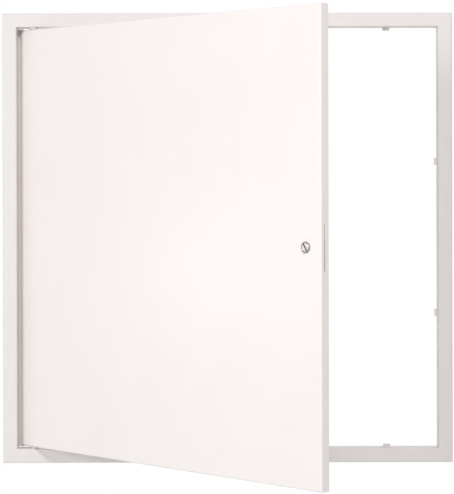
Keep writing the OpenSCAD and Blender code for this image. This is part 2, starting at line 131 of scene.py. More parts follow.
def soft_lamp(name, place, size, power, in_reflections=True):
    """A round area light that looks at the middle of the panel."""
    light = bpy.data.lights.new(name, "AREA")
    light.shape = "DISK"
    light.size = size
    light.energy = power
    lamp = bpy.data.objects.new(name, light)
    lamp.location = place
    lamp.rotation_euler = (-place).to_track_quat("-Z", "Y").to_euler()
    lamp.visible_glossy = in_reflections
    bpy.context.scene.collection.objects.link(lamp)
    print(name + ":", power, "W across", size, "m")
    return lamp


soft_lamp("front", FRONT_FROM, FRONT_SIZE, FRONT_POWER)
soft_lamp("side", SIDE_FROM, SIDE_SIZE, SIDE_POWER)
sheen_lamp = soft_lamp("sheen", SHEEN_FROM, SHEEN_SIZE, SHEEN_POWER)
soft_lamp("back", BACK_FROM, BACK_SIZE, BACK_POWER, in_reflections=False)

# %% [markdown]
# A material in Blender is a small network of nodes. Noise read from Object coordinates is in metres,
# so its scale says how many grains go into a metre. That keeps every texture at its real size. Most
# noise lies near the middle of its range, so the helper that spreads it cuts the rare ends off.

# %% Helpers for materials
NOISE_LOW = 0.3
NOISE_HIGH = 0.7


def new_material(name):
    """An empty material with a Principled shader, and shortcuts that add nodes and links to it."""
    material = bpy.data.materials.new(name)
    material.use_nodes = True
    shader = material.node_tree.nodes["Principled BSDF"]

    def add(kind, **settings):
        node = material.node_tree.nodes.new(kind)
        for setting, value in settings.items():
            setattr(node, setting, value)
        return node

    return material, shader, add, material.node_tree.links.new


def noise_at(add, link, place, scale, detail=2.0):
    """Noise in Object coordinates, with its grain given per metre."""
    noise = add("ShaderNodeTexNoise")
    noise.inputs["Scale"].default_value = scale
    noise.inputs["Detail"].default_value = detail
    link(place, noise.inputs["Vector"])
    return noise.outputs["Fac"]


def spread(add, link, value, low, high):
    """Maps a noise value onto a range."""
    ranged = add("ShaderNodeMapRange")
    ranged.inputs["From Min"].default_value = NOISE_LOW
    ranged.inputs["From Max"].default_value = NOISE_HIGH
    ranged.inputs["To Min"].default_value = low
    ranged.inputs["To Max"].default_value = high
    link(value, ranged.inputs["Value"])
    return ranged.outputs["Result"]


def mottled(add, link, grain, light, dark):
    """A colour that drifts between two others with the noise."""
    tone = add("ShaderNodeMix", data_type="RGBA")
    tone.inputs["A"].default_value = dark
    tone.inputs["B"].default_value = light
    link(spread(add, link, grain, 0.0, 1.0), tone.inputs["Factor"])
    return tone.outputs["Result"]


print("noise is used from", NOISE_LOW, "to", NOISE_HIGH)

# %% Plain pale floor
FLOOR_Z = -0.80
FLOOR_R = 2.4
FLOOR_STEPS = 96
FLOOR_GREY = (0.9, 0.9, 0.9, 1)
FLOOR_ROUGHNESS = 0.9

floor_paint, floor_shader = new_material("pale floor")[:2]
floor_shader.inputs["Base Color"].default_value = FLOOR_GREY
floor_shader.inputs["Roughness"].default_value = FLOOR_ROUGHNESS
bm = bmesh.new()
bmesh.ops.create_circle(bm, cap_ends=True, segments=FLOOR_STEPS, radius=FLOOR_R)
bmesh.ops.translate(bm, verts=bm.verts, vec=(0, 0, FLOOR_Z))
floor_mesh = bpy.data.meshes.new("floor")
bm.to_mesh(floor_mesh)
bm.free()
floor_mesh.materials.append(floor_paint)
floor = bpy.data.objects.new("floor", floor_mesh)
bpy.context.scene.collection.objects.link(floor)
print("floor:", FLOOR_R, "m round, at", FLOOR_Z)

# %% [markdown]
# Powder coat is sprayed on dry and melted in an oven. It is even in colour, satin, and it has a fine
# orange peel: shallow waves about a millimetre across. Two noises make the peel and the slow change
# of gloss, and a third shifts the white by a hair, as a thick coat does. An image of a real coat would
# repeat on so wide a door, and noise doesn't. The frame's white is a shade greyer than the door's as
# painted shade, since the open door faces the light more than the frame does. The door's coat is
# glossier and more even.

# %% White powder coat
DOOR_WHITE = (0.868, 0.818, 0.802)
DOOR_ROUGHNESS = (0.255, 0.265)
# Painted shade: the frame's white is darker than the door's, for the weaker light on the frame.
FRAME_SHADED_WHITE = (0.745, 0.703, 0.689)
FRAME_ROUGHNESS = (0.36, 0.46)
COAT_SPECULAR = 0.4
TONE_PER_M = 14.0
TONE_SHIFT = 0.008
GLOSS_PER_M = 60.0
GLOSS_DETAIL = 4.0
PEEL_PER_M = 900.0
PEEL_DEPTH = 0.00003
PEEL_STRENGTH = 0.35


def powder_coat(name, white, roughness):
    """Satin powder coat between two roughnesses, its white a hair lighter and darker in places."""
    material, shader, add, link = new_material(name)
    place = add("ShaderNodeTexCoord").outputs["Object"]
    light = [(1 + TONE_SHIFT) * part for part in white] + [1]
    dark = [(1 - TONE_SHIFT) * part for part in white] + [1]
    tone = mottled(add, link, noise_at(add, link, place, TONE_PER_M), light, dark)
    link(tone, shader.inputs["Base Color"])
    gloss = noise_at(add, link, place, GLOSS_PER_M, GLOSS_DETAIL)
    link(spread(add, link, gloss, *roughness), shader.inputs["Roughness"])
    peel = add("ShaderNodeBump")
    peel.inputs["Strength"].default_value = PEEL_STRENGTH
    peel.inputs["Distance"].default_value = PEEL_DEPTH
    link(noise_at(add, link, place, PEEL_PER_M), peel.inputs["Height"])
    link(peel.outputs["Normal"], shader.inputs["Normal"])
    shader.inputs["Specular IOR Level"].default_value = COAT_SPECULAR
    print(name + ":", len(material.node_tree.nodes), "nodes")
    return material


door_coat = powder_coat("white_door_coat", DOOR_WHITE, DOOR_ROUGHNESS)
shaded_frame_coat = powder_coat("white_frame_coat", FRAME_SHADED_WHITE, FRAME_ROUGHNESS)

# %% [markdown]
# Zinc plate on small steel parts is a grey metal with a faint blue cast. It is patchy at the scale of a
# millimetre or two, in colour and in gloss. One noise for both would tie the dull places to the dark
# ones, so it takes two.

# %% Zinc plate
ZINC_LIGHT = (0.68, 0.68, 0.67, 1)
ZINC_BLUE = (0.56, 0.58, 0.62, 1)
ZINC_ROUGHNESS = (0.26, 0.42)
ZINC_TONE_PER_M = 420.0
ZINC_GLOSS_PER_M = 900.0
ZINC_DETAIL = 4.0

zinc, shader, add, link = new_material("zinc_plate")
place = add("ShaderNodeTexCoord").outputs["Object"]
patches = noise_at(add, link, place, ZINC_TONE_PER_M, ZINC_DETAIL)
link(mottled(add, link, patches, ZINC_LIGHT, ZINC_BLUE), shader.inputs["Base Color"])
shader.inputs["Metallic"].default_value = 1.0
gloss = noise_at(add, link, place, ZINC_GLOSS_PER_M, ZINC_DETAIL)
link(spread(add, link, gloss, *ZINC_ROUGHNESS), shader.inputs["Roughness"])
print("zinc plate:", len(zinc.node_tree.nodes), "nodes")

# %% [markdown]
# Lathe-turned nickel shows fine rings round its axis. They are too fine to model, so a bump makes them.
# The latch sits in the open door, so its material first moves the coordinates to the latch and turns
# them back by the door's angle. The joints of the part give both numbers. The polished face, the satin
# collar and the slot differ in colour and roughness only. The collar's dark colour is partly painted
# shade, for the shaded ring round the plug, and the slot's dark nickel is painted shade.

# %% Nickel plate: polished, satin with painted shade, and painted shade for the slot
JOINTS = {joint["name"]: joint for joint in frame["joints"]}
HINGE = Vector(JOINTS["door_swing"]["pos_m"])
LATCH = Vector(JOINTS["latch_turn"]["pos_m"])
DOOR_OPEN = math.radians(-JOINTS["door_swing"]["range_deg"][0])
CAM_DOWN = math.radians(JOINTS["latch_turn"]["range_deg"][1])
RINGS_SCALE = 2100.0
RINGS_WOBBLE = 1.5
RINGS_DEPTH = 0.00001
RINGS_STRENGTH = 0.12
NICKEL_GLOSS_PER_M = 700.0
NICKEL_DETAIL = 3.0
FACE_NICKEL = (0.82, 0.79, 0.75, 1)
FACE_ROUGHNESS = (0.1, 0.18)
# The collar's satin finish is real; its dark colour is partly painted shade, for the shaded ring round the
# plug.
COLLAR_SHADED_NICKEL = (0.34, 0.33, 0.32, 1)
COLLAR_ROUGHNESS = (0.28, 0.4)
# Painted shade: the slot's nickel is darkened for the shade that falls inside the slot.
SLOT_SHADE_NICKEL = (0.14, 0.13, 0.12, 1)
SLOT_ROUGHNESS = (0.5, 0.65)


def turned_nickel(name, colour, roughness):
    """Nickel with turned rings round the latch's axis, and a range of roughness."""
    material, shader, add, link = new_material(name)
    place = add("ShaderNodeTexCoord").outputs["Object"]
    centred = add("ShaderNodeVectorMath", operation="SUBTRACT")
    centred.inputs[1].default_value = LATCH
    link(place, centred.inputs[0])
    facing = add("ShaderNodeVectorRotate", rotation_type="Z_AXIS")
    facing.inputs["Angle"].default_value = DOOR_OPEN
    link(centred.outputs["Vector"], facing.inputs["Vector"])
    rings = add("ShaderNodeTexWave", wave_type="RINGS", rings_direction="Y")
    rings.inputs["Scale"].default_value = RINGS_SCALE
    rings.inputs["Distortion"].default_value = RINGS_WOBBLE
    link(facing.outputs["Vector"], rings.inputs["Vector"])
    marks = add("ShaderNodeBump")
    marks.inputs["Strength"].default_value = RINGS_STRENGTH
    marks.inputs["Distance"].default_value = RINGS_DEPTH
    link(rings.outputs["Fac"], marks.inputs["Height"])
    link(marks.outputs["Normal"], shader.inputs["Normal"])
    gloss = noise_at(add, link, place, NICKEL_GLOSS_PER_M, NICKEL_DETAIL)
    link(spread(add, link, gloss, *roughness), shader.inputs["Roughness"])
    shader.inputs["Base Color"].default_value = colour
    shader.inputs["Metallic"].default_value = 1.0
    print(name + ":", len(material.node_tree.nodes), "nodes")
    return material


nickel_face = turned_nickel("nickel_polished", FACE_NICKEL, FACE_ROUGHNESS)
# The collar's darker colour is partly painted shade.
nickel_satin_shaded = turned_nickel("nickel_satin_shaded", COLLAR_SHADED_NICKEL, COLLAR_ROUGHNESS)
# The slot's dark nickel is painted shade.
slot_painted_shade = turned_nickel("nickel_slot_shade", SLOT_SHADE_NICKEL, SLOT_ROUGHNESS)

# %% [markdown]
# The hinge's bushes are moulded nylon. Its colour goes all the way through and has no grain, so one plain
# colour is true to it. A mould leaves some places duller than others, and a noise in the roughness does
# the same.

# %% Pale grey nylon
NYLON_GREY = (0.62, 0.615, 0.6, 1)
NYLON_ROUGHNESS = (0.42, 0.55)
NYLON_GLOSS_PER_M = 500.0
NYLON_DETAIL = 3.0

nylon, shader, add, link = new_material("grey_nylon")
place = add("ShaderNodeTexCoord").outputs["Object"]
shader.inputs["Base Color"].default_value = NYLON_GREY
gloss = noise_at(add, link, place, NYLON_GLOSS_PER_M, NYLON_DETAIL)
link(spread(add, link, gloss, *NYLON_ROUGHNESS), shader.inputs["Roughness"])
print("nylon:", len(nylon.node_tree.nodes), "nodes")

# %% [markdown]
# The part's record knows four materials, and each piece names one of them as its slot. Both whites share
# a slot, and so do the nickels, so from here on each finish is kept beside its slot.

# %% Each finish with its slot in the record
painted_frame = (shaded_frame_coat, "white_powder_coat")
painted_door = (door_coat, "white_powder_coat")
bright_zinc = (zinc, "zinc_plate")
polished = (nickel_face, "nickel_plate")
satin = (nickel_satin_shaded, "nickel_plate")
grey_nylon = (nylon, "grey_nylon")
FINISHES = (painted_frame, painted_door, bright_zinc, polished, satin, grey_nylon)
print("slots:", sorted({slot for material, slot in FINISHES}))

# %% [markdown]
# The shapes are drawn in millimetres and shrunk to metres at the end. A few helpers do most of the
# work: an outline becomes a bar, a profile becomes a turned part, and a Boolean cuts one shape out of
# another. Each helper gives back a bmesh, so that they can be strung together.

# %% Outlines
BEND_STEPS = 8


def arc(centre, radius, start, end, steps=BEND_STEPS):
    """Points along an arc, with its angles in degrees."""
    turns = [math.radians(start + (end - start) * i / steps) for i in range(steps + 1)]
    return [(centre[0] + radius * math.cos(t), centre[1] + radius * math.sin(t)) for t in turns]


def circle(radius, steps=32):
    """Points round a whole circle, the first of them on X."""
    return arc((0, 0), radius, 0, 360 - 360 / steps, steps - 1)


def stadium(half_length, width, steps=12):
    """A slot with round ends, along Y."""
    r = width / 2
    straight = half_length - r
    return arc((0, straight), r, 0, 180, steps) + arc((0, -straight), r, 180, 360, steps)


def strip(middle, sheet):
    """Outline of a folded sheet, half its thickness to each side of its middle line."""
    points = [Vector(point) for point in middle]
    steps = [(b - a).normalized() for a, b in zip(points, points[1:])]
    left, right = [], []
    for i, point in enumerate(points):
        before = steps[max(i - 1, 0)]
        after = steps[min(i, len(steps) - 1)]
        along = (before + after).normalized()
        across = Vector((-along.y, along.x)) * (sheet / 2 / along.dot(after))
        left.append(tuple(point + across))
        right.append(tuple(point - across))
    return left + right[::-1]


print("a bend has", len(arc((0, 0), 1, 0, 90)), "points")

# %% Solids
MERGE = 0.0005


def prism(outline, low, high):
    """A straight bar with its outline in X and Y, from one height in Z to another."""
    bm = bmesh.new()
    base = bm.faces.new([bm.verts.new((x, y, low)) for x, y in outline])
    swept = bmesh.ops.extrude_face_region(bm, geom=[base])
    top = [item for item in swept["geom"] if isinstance(item, bmesh.types.BMVert)]
    bmesh.ops.translate(bm, verts=top, vec=(0, 0, high - low))
    bmesh.ops.recalc_face_normals(bm, faces=bm.faces)
    return bm


def lathe(profile, steps=64):
    """A closed profile of radius and height, turned once round Z."""
    bm = bmesh.new()
    verts = [bm.verts.new((radius, 0, height)) for radius, height in profile]
    edges = [bm.edges.new(pair) for pair in zip(verts, verts[1:] + verts[:1])]
    bmesh.ops.spin(bm, geom=verts + edges, cent=(0, 0, 0), axis=(0, 0, 1), angle=math.tau, steps=steps,
                   use_merge=True)
    bmesh.ops.remove_doubles(bm, verts=bm.verts, dist=MERGE)
    bmesh.ops.recalc_face_normals(bm, faces=bm.faces)
    return bm


def block(low, high):
    """A box between two corners."""
    bm = bmesh.new()
    bmesh.ops.create_cube(bm, size=1)
    bmesh.ops.scale(bm, verts=bm.verts, vec=Vector(high) - Vector(low))
    bmesh.ops.translate(bm, verts=bm.verts, vec=(Vector(high) + Vector(low)) / 2)
    return bm


print("solids: a bar, a turned part and a box")

# %% Moving, joining and cutting
FACE_ON = Matrix(((1, 0, 0, 0), (0, 0, 1, 0), (0, 1, 0, 0), (0, 0, 0, 1)))
ACROSS_WALL = Matrix(((0, 0, 1, 0), (1, 0, 0, 0), (0, 1, 0, 0), (0, 0, 0, 1)))


def moved(bm, *matrices):
    """Moves a shape by each matrix in turn."""
    for matrix in matrices:
        bmesh.ops.transform(bm, matrix=matrix, verts=bm.verts)
    bmesh.ops.recalc_face_normals(bm, faces=bm.faces)
    return bm


def shift(x, y, z):
    """A matrix that moves by millimetres."""
    return Matrix.Translation((x, y, z))


def together(shapes):
    """Puts several shapes into one mesh."""
    joined = bmesh.new()
    for shape in shapes:
        mesh = bpy.data.meshes.new("part")
        shape.to_mesh(mesh)
        shape.free()
        joined.from_mesh(mesh)
        bpy.data.meshes.remove(mesh)
    return joined


def carve(stock, tool, operation="DIFFERENCE"):
    """Cuts a tool out of the stock, or joins it on, with a Boolean modifier."""
    pair = []
    for shape in (stock, tool):
        mesh = bpy.data.meshes.new("carving")
        shape.to_mesh(mesh)
        shape.free()
        pair.append(bpy.data.objects.new("carving", mesh))
        bpy.context.scene.collection.objects.link(pair[-1])
    boolean = pair[0].modifiers.new("carve", "BOOLEAN")
    boolean.solver = "EXACT"
    boolean.operation = operation
    boolean.object = pair[1]
    result = bmesh.new()
    result.from_object(pair[0], bpy.context.evaluated_depsgraph_get())
    for carving in pair:
        mesh = carving.data
        bpy.data.objects.remove(carving)
        bpy.data.meshes.remove(mesh)
    return result


print("shapes can be moved, joined and cut")

# %% [markdown]
# No edge of a painted product is perfectly sharp: deburring and the coat itself round it. So each piece
# gets a small bevel on every edge that turns by more than 40 degrees. The bevel catches the light, and
# smooth shading with weighted normals keeps the flat faces flat beside it. Small parts get a finer bevel.

# %% Soft edges and finished pieces
MM = 0.001
SOFT = 0.2
FINE_SOFT = 0.15
SOFT_STEPS = 2
FLAT_BELOW = math.radians(0.5)
SHARP_ABOVE = math.radians(40)
SHADED_SHARP_ABOVE = math.radians(35)


def soften(bm, size=SOFT, leave=None):
    """Rounds the sharp edges, apart from those that are to be left."""
    bmesh.ops.remove_doubles(bm, verts=bm.verts, dist=MERGE)
    bmesh.ops.dissolve_limit(bm, angle_limit=FLAT_BELOW, verts=bm.verts, edges=bm.edges)
    sharp = [edge for edge in bm.edges if edge.is_manifold and edge.calc_face_angle() > SHARP_ABOVE]
    sharp = [edge for edge in sharp if leave is None or not leave(edge)]
    bmesh.ops.bevel(bm, geom=sharp, offset=size, offset_type="OFFSET", affect="EDGES", segments=SOFT_STEPS,
                    profile=0.5, clamp_overlap=True, material=-1)
    return bm


def show(bm, name, body, finish, stands_for, place=Matrix(), second=None):
    """Turns a shape in millimetres into a finished piece that rides on a body of the part."""
    material, slot = finish
    moved(bm, Matrix.Scale(MM, 4) @ place)
    mesh = bpy.data.meshes.new(name)
    bm.to_mesh(mesh)
    bm.free()
    mesh.materials.append(material)
    if second:
        mesh.materials.append(second)
    mesh.polygons.foreach_set("use_smooth", [True] * len(mesh.polygons))
    mesh.set_sharp_from_angle(angle=SHADED_SHARP_ABOVE)
    piece = bpy.data.objects.new(name, mesh)
    bpy.context.scene.collection.objects.link(piece)
    even = piece.modifiers.new("even shading", "WEIGHTED_NORMAL")
    even.keep_sharp = True
    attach(piece, body)
    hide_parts(stands_for)
    print(name + ":", len(mesh.polygons), "faces")
    return piece


hinge_mm = HINGE / MM
OPENED = shift(*hinge_mm) @ Matrix.Rotation(-DOOR_OPEN, 4, "Z") @ shift(*-hinge_mm)
print("door stands open by", round(math.degrees(DOOR_OPEN), 1), "degrees")

# %% [markdown]
# The frame is one folded section, cut to mitres and used four times. Its middle line starts at the lip
# that rests on the ceiling, turns round the flange's edge, crosses the flange and turns into the wall.
# Half the sheet to each side of that line keeps it equally thick round every bend. The section is drawn
# with X outwards from the opening and Y into the ceiling, and the bar runs along Z.

# %% The rail's section and its mitres
SHEET = 1.2
HALF = 300.0
FLANGE = 20.0
FACE_Y = -3.0
FLANGE_R = 2.5
OPENING_R = 2.0
WALL_BACK = 22.0
MITRE_EASE = 0.05


def rail_outline(wall_end):
    """Outline of the folded section, from the lip on the ceiling to the end of the wall."""
    middle = [(FLANGE - SHEET / 2, 0)]
    middle += arc((FLANGE - FLANGE_R, FACE_Y + FLANGE_R), FLANGE_R - SHEET / 2, 0, -90)
    middle += arc((OPENING_R, FACE_Y + OPENING_R), OPENING_R - SHEET / 2, 270, 180)
    middle += [(SHEET / 2, wall_end)]
    return strip(middle, SHEET)


def plain_rail(wall_end):
    """A mitred length of the folded section, with nothing cut in its wall yet."""
    bar = prism(rail_outline(wall_end), -HALF - 2 * FLANGE, HALF + 2 * FLANGE)
    for end in (-1, 1):
        whole = bar.verts[:] + bar.edges[:] + bar.faces[:]
        cut = bmesh.ops.bisect_plane(bar, geom=whole, plane_co=(0, 0, end * (HALF - MITRE_EASE)),
                                     plane_no=(-1, 0, end), clear_outer=True)
        rim = [item for item in cut["geom_cut"] if isinstance(item, bmesh.types.BMEdge)]
        bmesh.ops.holes_fill(bar, edges=rim)
    return bar


print("section:", len(rail_outline(WALL_BACK)), "points")

# %% [markdown]
# The door shuts against small stops. Each is lanced from the wall: a window is cut round it on three
# sides and the tongue is folded into the opening. So a stop takes two steps, a window cut out and a
# folded tongue joined on. The edges of the mitres stay sharp, because the next rail lies against them.

# %% Stops, holes and slots
STOP_W = 10.0
STOP_REACH = 4.5
STOP_SLIT = 0.5
STOP_ROOT = 11.5
STOP_WINDOW = 5.9
FOLD_R = 0.8
FOLD_ROOT = 1.0
FIXING_R = 2.5
FIXING_FROM_END = 5.0
CUT_REACH = 5.0
MITRE_LEAN = 0.6


def wall_fold(root, reach, low, high):
    """A tongue folded from the wall into the opening, with a short root that lies in the wall."""
    middle = [(SHEET / 2, root - FOLD_ROOT)]
    middle += arc((-FOLD_R, root), FOLD_R + SHEET / 2, 0, 90)
    middle += [(-reach, root + FOLD_R + SHEET / 2)]
    return prism(strip(middle, SHEET), low, high)


def wall_cut(outline, depth, along):
    """A tool that cuts an outline through a wall, at a depth in Y and a place along it."""
    return moved(prism(outline, -CUT_REACH, CUT_REACH), ACROSS_WALL, shift(0, depth, along))


def on_mitre(edge):
    """True for an edge of a mitre's face, which its neighbour covers."""
    return any(min(abs(face.normal.x), abs(face.normal.z)) > MITRE_LEAN for face in edge.link_faces)


def worked_rail(wall_end, stops, fixings, more_cuts=(), more_folds=()):
    """A rail with its windows, holes and tongues."""
    window = STOP_W / 2 + STOP_SLIT
    cuts = list(more_cuts)
    for at in stops:
        low = (-CUT_REACH, STOP_ROOT, at - window)
        high = (CUT_REACH, STOP_ROOT + STOP_WINDOW, at + window)
        cuts.append(block(low, high))
    for at in fixings:
        cuts.append(wall_cut(circle(FIXING_R), wall_end - FIXING_FROM_END, at))
    folds = [wall_fold(STOP_ROOT, STOP_REACH, at - STOP_W / 2, at + STOP_W / 2) for at in stops]
    folds += more_folds
    rail = carve(plain_rail(wall_end), together(cuts))
    return soften(carve(rail, together(folds), "UNION"), leave=on_mitre)


print("stops:", STOP_W, "mm wide, standing", STOP_REACH, "mm into the opening")

# %% [markdown]
# The four rails share their section and differ in what is cut and folded. The top and bottom rails hold
# the hinge's bushes, the latch stile has a long slot that the cam enters, and the hinge stile has a lip in
# place of stops, which closes the gap behind the door's edge. So one function makes every rail and takes
# the differences, and a turn about the frame's middle puts it on its side.

# %% The four rails
STOP_ALONG = 227.0
RAIL_FIXING = 150.0
STILE_FIXING = 200.0
LATCH_STOP = 108.0
HINGE_X = hinge_mm.x
HINGE_Y = hinge_mm.y
BUSH_HOLE_R = 3.8
KEEPER_HALF = 24.9
KEEPER_W = 3.5
CAM_MIDDLE_Y = 3.95
LIP_ROOT = 20.0
LIP_REACH = 8.2
LIP_END = 299.0

STAND = shift(0, 0, HALF) @ Matrix.Rotation(math.radians(-90), 4, "Y")


def on_side(degrees):
    """Puts a rail on one side of the frame, counted from the top."""
    return Matrix.Rotation(math.radians(degrees), 4, "Y") @ STAND


def both(at):
    """The same place to each side of the middle."""
    return (-at, at)


for name, degrees, bush_at in (("top_rail", 0, -HINGE_X), ("bottom_rail", 180, HINGE_X)):
    bush_hole = wall_cut(circle(BUSH_HOLE_R), HINGE_Y, bush_at)
    rail = worked_rail(WALL_BACK, both(STOP_ALONG), both(RAIL_FIXING), [bush_hole])
    show(rail, "painted_" + name, "frame", painted_frame, "frame_" + name, on_side(degrees))

keeper = wall_cut(stadium(KEEPER_HALF, KEEPER_W), CAM_MIDDLE_Y, 0)
latch_side = worked_rail(WALL_BACK, both(LATCH_STOP), both(STILE_FIXING), [keeper])
show(latch_side, "painted_latch_stile", "frame", painted_frame, "frame_latch_stile", on_side(90))

lip = wall_fold(LIP_ROOT, LIP_REACH, -LIP_END, LIP_END)
hinge_side = worked_rail(LIP_ROOT, (), both(STILE_FIXING), (), [lip])
show(hinge_side, "painted_hinge_stile", "frame", painted_frame, "frame_hinge_stile", on_side(-90))

# %% [markdown]
# Steel sheets are spot welded where they lie on each other. A spot weld leaves a shallow round dent that
# the paint doesn't hide. The corner plates behind the mitres, the stiffener and the hinge knuckles all
# have them, so one helper makes the tools that press the dents.

# %% Spot welds and corner plates
WELD_R = 2.4
WELD_DENT = 0.22
WELD_LIFT = 0.03
WELD_STEPS = 24
WELD_INSET = 7.0
PLATE_IN = 284.0
PLATE_STEP = 302.25
PLATE_OUT = 317.25
PLATE_FRONT = -1.8
PLATE_BACK = -0.6
CORNERS = (("top_left", -1, 1), ("top_right", 1, 1), ("bottom_left", -1, -1), ("bottom_right", 1, -1))


def weld_dents(places):
    """Flat lenses to press into a face that looks along Y, lifted so that no rim lies in the face."""
    lenses = []
    for place in places:
        lens = bmesh.new()
        bmesh.ops.create_uvsphere(lens, u_segments=WELD_STEPS, v_segments=WELD_STEPS // 2, radius=1)
        bmesh.ops.scale(lens, verts=lens.verts, vec=(WELD_R, WELD_DENT, WELD_R))
        lenses.append(moved(lens, shift(*place), shift(0, WELD_LIFT, 0)))
    return together(lenses)


def corner_plate(side, end):
    """The plate behind one mitre, with three welds."""
    outline = [(PLATE_IN, PLATE_STEP), (PLATE_STEP, PLATE_STEP), (PLATE_STEP, PLATE_IN),
               (PLATE_OUT, PLATE_IN), (PLATE_OUT, PLATE_OUT), (PLATE_IN, PLATE_OUT)]
    plate = moved(prism(outline, PLATE_FRONT, PLATE_BACK), FACE_ON)
    near = PLATE_IN + WELD_INSET
    middle = (PLATE_STEP + PLATE_OUT) / 2
    welds = [(near, PLATE_BACK, middle), (middle, PLATE_BACK, near), (middle, PLATE_BACK, middle)]
    plate = soften(carve(plate, weld_dents(welds)), FINE_SOFT)
    return moved(plate, Matrix.Diagonal((side, 1, end, 1)))


for name, side, end in CORNERS:
    show(corner_plate(side, end), "painted_plate_" + name, "frame", painted_frame, "corner_plate_" + name)

# %% [markdown]
# The hinge is hidden inside the door. A plain rod sits in two nylon bushes, pushed into the top and bottom
# walls, a push-on clip at each end keeps it there, and the door turns on it. The rod is a bar with a circle
# for its outline, and a bush is a profile turned round its axis. The clip is a shallow cone with slits,
# whose tongues bite into the rod, so it is a turned profile too, and a loop cuts the slits.

# %% Rod, bushes and clips
ROD_R = 2.5
ROD_HALF = 305.5
ROD_BORE = 2.55
ROD_STEPS = 48
ROD_CHAMFER = 0.4
BUSH_IN = 297.3
BUSH_OUT = 302.7
BUSH_FLANGE_R = 6.0
BUSH_SLEEVE_R = 3.75
LEAD_IN_LENGTH = 0.5
LEAD_IN_DEPTH = 0.3
CLIP_R = 5.0
CLIP_OUT = 303.5
CLIP_SHEET = 0.3
CLIP_GAP = 0.05
CONE_UNDER_R = 3.6
CONE_OVER_R = 3.7
SLITS = 6
SLIT_HALF = 0.25
SLIT_FROM_R = 2.0
AT_HINGE = shift(HINGE_X, HINGE_Y, 0)

rod = soften(prism(circle(ROD_R, ROD_STEPS), -ROD_HALF, ROD_HALF), ROD_CHAMFER)
show(rod, "bright_hinge_rod", "frame", bright_zinc, "hinge_rod", AT_HINGE)


def bush():
    """A flanged bush with a small lead-in at the end of its sleeve."""
    profile = [(ROD_BORE, BUSH_IN), (BUSH_FLANGE_R, BUSH_IN), (BUSH_FLANGE_R, HALF), (BUSH_SLEEVE_R, HALF),
               (BUSH_SLEEVE_R, BUSH_OUT - LEAD_IN_LENGTH), (BUSH_SLEEVE_R - LEAD_IN_DEPTH, BUSH_OUT),
               (ROD_BORE, BUSH_OUT)]
    return soften(lathe(profile), FINE_SOFT)


def clip():
    """A coned washer with slits from its bore outwards."""
    profile = [(ROD_BORE, CLIP_OUT - CLIP_SHEET), (CONE_UNDER_R, BUSH_OUT + CLIP_GAP),
               (CLIP_R, BUSH_OUT + CLIP_GAP), (CLIP_R, BUSH_OUT + CLIP_SHEET),
               (CONE_OVER_R, BUSH_OUT + CLIP_SHEET), (ROD_BORE, CLIP_OUT)]
    slits = []
    for i in range(SLITS):
        slit = block((SLIT_FROM_R, -SLIT_HALF, HALF), (CONE_UNDER_R, SLIT_HALF, CLIP_OUT + CUT_REACH))
        slits.append(moved(slit, Matrix.Rotation(math.tau * i / SLITS, 4, "Z")))
    return carve(lathe(profile), together(slits))


for name, flip in (("top", 1), ("bottom", -1)):
    over = AT_HINGE @ Matrix.Diagonal((1, 1, flip, 1))
    show(bush(), "nylon_bush_" + name, "frame", grey_nylon, "hinge_bush_" + name, over)
    show(clip(), "bright_clip_" + name, "frame", bright_zinc, "rod_clip_" + name, over)

# %% [markdown]
# The door is a pan: a flat skin with its edges folded back and a lip turned in behind them. Two rounded
# blocks, one inside the other, leave exactly the sheet's thickness between them. Bevels on the front and
# back edges make the folds, and a window through the back leaves the lips.

# %% The door's pan
DOOR_HALF = 297.0
DOOR_BACK = 12.0
DOOR_R = 2.5
DOOR_LIP_R = 2.2
DOOR_LIP = 12.0
LATCH_X = 272.0
BARREL_HOLE_R = 6.05
BARREL_HOLE_FLAT = 5.35
ROD_PASSAGE_R = 3.25
CAM_SLOT_HALF = 29.03
CAM_SLOT_W = 2.1
PAN_CUT = 3.0
IN_PLANE = 0.001


def rounded_block(half, front, back, front_r, back_r):
    """A square block with its front and back edges rounded, and its side edges left sharp."""
    bm = block((-half, front, -half), (half, back, half))
    for depth, radius in ((front, front_r), (back, back_r)):
        rim = [edge for edge in bm.edges if all(abs(vert.co.y - depth) < IN_PLANE for vert in edge.verts)]
        bmesh.ops.bevel(bm, geom=rim, offset=radius, offset_type="OFFSET", affect="EDGES",
                        segments=BEND_STEPS, profile=0.5, clamp_overlap=True, material=-1)
    return bm


def held(value, limit):
    """A value kept between a limit and its negative."""
    return max(-limit, min(limit, value))


def flatted(radius, flat, steps=64):
    """A circle with two flats, across X."""
    return [(held(x, flat), y) for x, y in circle(radius, steps)]


pan = rounded_block(DOOR_HALF, FACE_Y, DOOR_BACK, DOOR_R, DOOR_LIP_R)
hollow = rounded_block(DOOR_HALF - SHEET, FACE_Y + SHEET, DOOR_BACK - SHEET,
                       DOOR_R - SHEET, DOOR_LIP_R - SHEET)
pan = carve(pan, hollow)
inner = DOOR_HALF - DOOR_LIP
pan = carve(pan, block((-inner, DOOR_BACK - PAN_CUT, -inner), (inner, DOOR_BACK + PAN_CUT, inner)))
barrel_hole = prism(flatted(BARREL_HOLE_R, BARREL_HOLE_FLAT), FACE_Y - PAN_CUT, FACE_Y + PAN_CUT)
rod_passage = prism(circle(ROD_PASSAGE_R), -DOOR_HALF - PAN_CUT, DOOR_HALF + PAN_CUT)
cam_slot = wall_cut(stadium(CAM_SLOT_HALF, CAM_SLOT_W), CAM_MIDDLE_Y, 0)
cuts = [moved(barrel_hole, FACE_ON, shift(LATCH_X, 0, 0)), moved(rod_passage, AT_HINGE),
        moved(cam_slot, shift(DOOR_HALF, 0, 0))]
pan = soften(carve(pan, together(cuts)))
show(pan, "painted_door_pan", "door", painted_door, "door_pan", OPENED)

